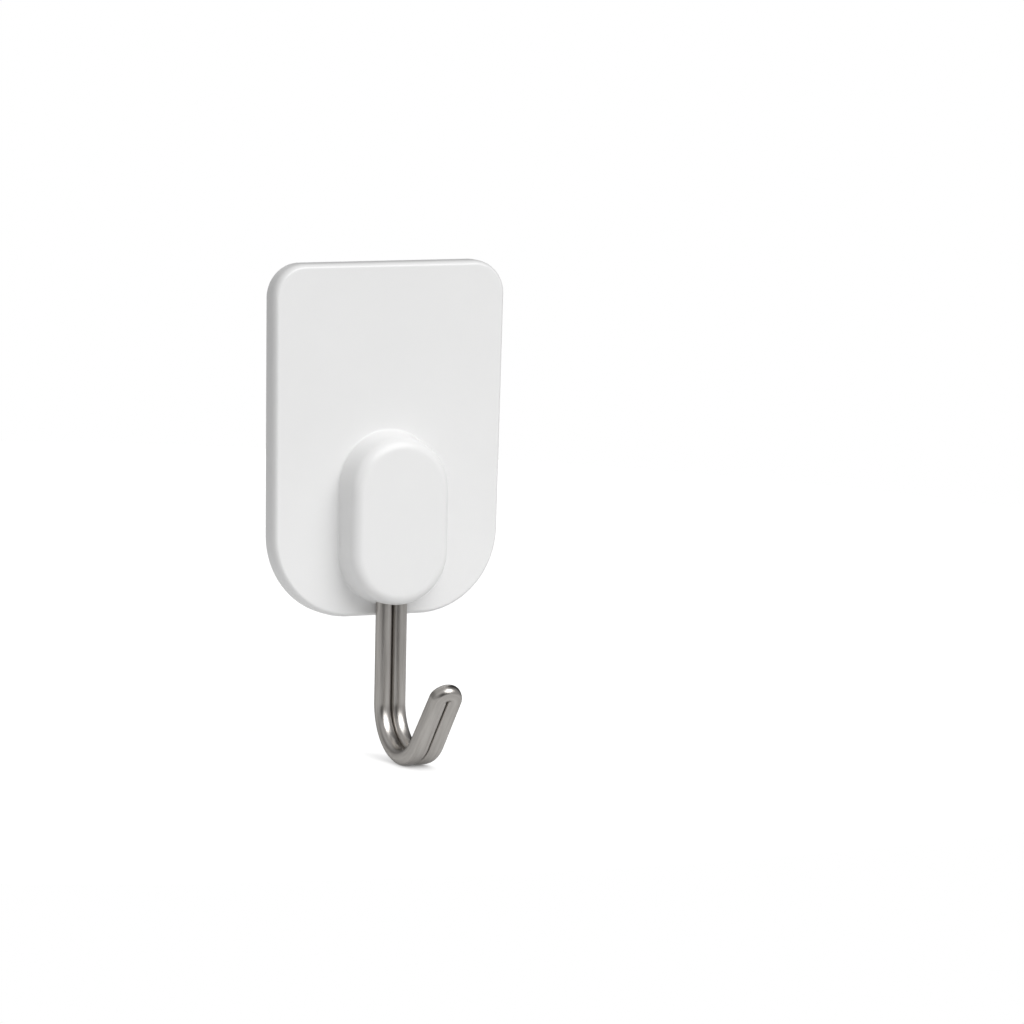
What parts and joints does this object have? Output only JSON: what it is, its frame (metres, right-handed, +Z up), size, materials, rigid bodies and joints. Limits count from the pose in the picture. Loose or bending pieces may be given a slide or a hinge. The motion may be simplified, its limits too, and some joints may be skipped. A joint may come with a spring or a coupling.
{
  "type": "adhesive wall hook",
  "caption": "White moulded plate with an oblong boss that holds a doubled steel wire bent into a J hook, with a double-sided foam pad and release liner behind it for fixing to a wall.",
  "frame": {"origin": "centre of the pad's wall-side face, in the plane of the wall, at the middle of the plate's height", "axes": "+Z up the wall, +Y into the wall, so that the hook faces -Y, and +X to the right as seen from the front"},
  "size_m": [0.04, 0.0287, 0.0789],
  "materials": {
    "white_moulding": "white moulded plastic, semi-gloss",
    "steel_wire": "satin drawn stainless wire",
    "retainer_moulding": "plain natural moulding",
    "adhesive": "clear tacky film",
    "foam": "fine closed-cell white foam",
    "liner_paper": "siliconed release paper"
  },
  "bodies": {
    "hook": {"front_plate": "white_moulding", "wire_hook": "steel_wire", "hook_retainer": "retainer_moulding", "plate_adhesive": "adhesive", "foam_core": "foam", "wall_adhesive": "adhesive"},
    "liner": {"release_liner": "liner_paper"}
  },
  "joints": [
    {"name": "liner_pull", "type": "slide", "parent": "hook", "child": "liner", "axis": [0, 1, 0], "range_m": [0, 0.05]}
  ]
}
